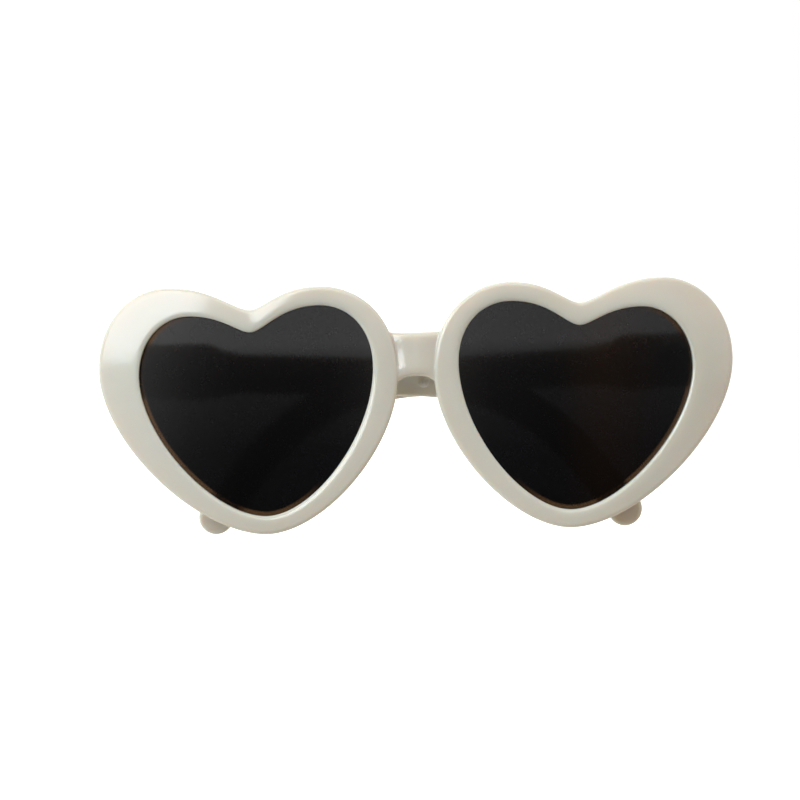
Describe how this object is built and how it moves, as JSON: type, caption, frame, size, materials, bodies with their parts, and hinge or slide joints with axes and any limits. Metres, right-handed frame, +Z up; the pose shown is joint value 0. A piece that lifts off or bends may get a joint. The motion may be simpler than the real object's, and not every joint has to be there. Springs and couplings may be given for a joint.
{
  "type": "pet sunglasses",
  "caption": "Small heart-shaped sunglasses for a cat or small dog, with a glossy ivory front, dark lenses in grooves and temples that fold on screw hinges.",
  "frame": {"origin": "on the ground, in the middle of the folded pair's box, below the bridge", "axes": "+X to the viewer's right along the front, +Y from the front towards the wearer, +Z up"},
  "size_m": [0.08, 0.0128, 0.0312],
  "materials": {
    "frame_plastic": "glossy ivory moulded plastic",
    "lens_smoke": "polished smoke-black sheet",
    "hinge_steel": "plain nickel-coloured steel"
  },
  "bodies": {
    "front": {"front_frame": "frame_plastic", "lens_left": "lens_smoke", "lens_right": "lens_smoke", "hinge_front_leaf_left": "hinge_steel", "hinge_front_leaf_right": "hinge_steel", "hinge_screw_left": "hinge_steel", "hinge_screw_right": "hinge_steel"},
    "left_temple": {"temple_left": "frame_plastic", "hinge_temple_leaf_left": "hinge_steel"},
    "right_temple": {"temple_right": "frame_plastic", "hinge_temple_leaf_right": "hinge_steel"}
  },
  "joints": [
    {"name": "left_temple_fold", "type": "hinge", "parent": "front", "child": "left_temple", "pos_m": [-0.0357, 0.00028, 0.02101], "axis": [0, 0, 1], "range_deg": [0, 92.1]},
    {"name": "right_temple_fold", "type": "hinge", "parent": "front", "child": "right_temple", "pos_m": [0.0357, 0.00028, 0.02101], "axis": [0, 0, -1], "range_deg": [0, 87.9]}
  ]
}
